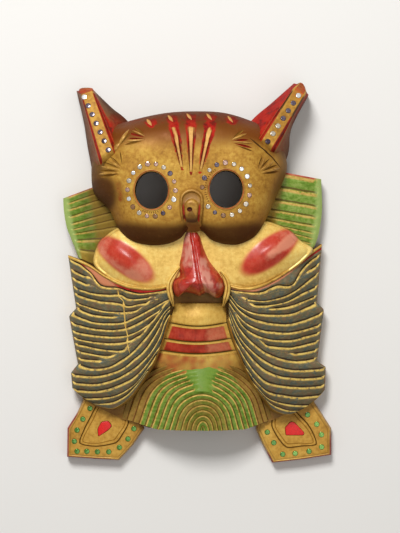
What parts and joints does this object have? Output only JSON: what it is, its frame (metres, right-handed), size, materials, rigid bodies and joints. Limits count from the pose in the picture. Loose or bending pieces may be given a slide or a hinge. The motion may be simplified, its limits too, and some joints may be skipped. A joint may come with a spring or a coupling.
{
  "type": "carved owl mask",
  "caption": "Carved and painted wooden owl mask with tufted ears, ruled feather panels, a bearded lower face, square feet and small inlaid mirrors, hollow behind for the wearer.",
  "frame": {"origin": "middle of the flat back, on the surface that the mask lies on", "axes": "+X to the viewer's right, +Y from the feet to the ears, +Z out of the face"},
  "size_m": [0.2339, 0.3323, 0.0656],
  "materials": {
    "gilded_wood": "carved, gilded, painted green, blue-grey and red, worn and varnished",
    "dark_mirror": "small silvered glass discs, mostly dark violet",
    "green_mirror": "small green mirror-glass discs",
    "red_glass": "flat glossy red drop, foiled behind, so not see-through"
  },
  "bodies": {
    "root": {"mask": "gilded_wood", "ear_mirror_left_1": "dark_mirror", "ear_mirror_left_2": "dark_mirror", "ear_mirror_left_3": "dark_mirror", "ear_mirror_left_4": "dark_mirror", "ear_mirror_left_5": "dark_mirror", "ear_mirror_left_6": "dark_mirror", "ear_mirror_left_7": "dark_mirror", "ear_mirror_right_1": "dark_mirror", "ear_mirror_right_2": "dark_mirror", "ear_mirror_right_3": "dark_mirror", "ear_mirror_right_4": "dark_mirror", "ear_mirror_right_5": "dark_mirror", "ear_mirror_right_6": "dark_mirror", "ear_mirror_right_7": "dark_mirror", "foot_mirror_left_01": "green_mirror", "foot_mirror_left_02": "green_mirror", "foot_mirror_left_03": "green_mirror", "foot_mirror_left_04": "green_mirror", "foot_mirror_left_05": "green_mirror", "foot_mirror_left_06": "green_mirror", "foot_mirror_left_07": "green_mirror", "foot_mirror_left_08": "green_mirror", "foot_mirror_left_09": "green_mirror", "foot_mirror_left_10": "green_mirror", "foot_mirror_left_11": "green_mirror", "foot_mirror_right_01": "green_mirror", "foot_mirror_right_02": "green_mirror", "foot_mirror_right_03": "green_mirror", "foot_mirror_right_04": "green_mirror", "foot_mirror_right_05": "green_mirror", "foot_mirror_right_06": "green_mirror", "foot_mirror_right_07": "green_mirror", "foot_mirror_right_08": "green_mirror", "foot_mirror_right_09": "green_mirror", "foot_drop_left": "red_glass", "foot_drop_right": "red_glass"}
  },
  "joints": []
}
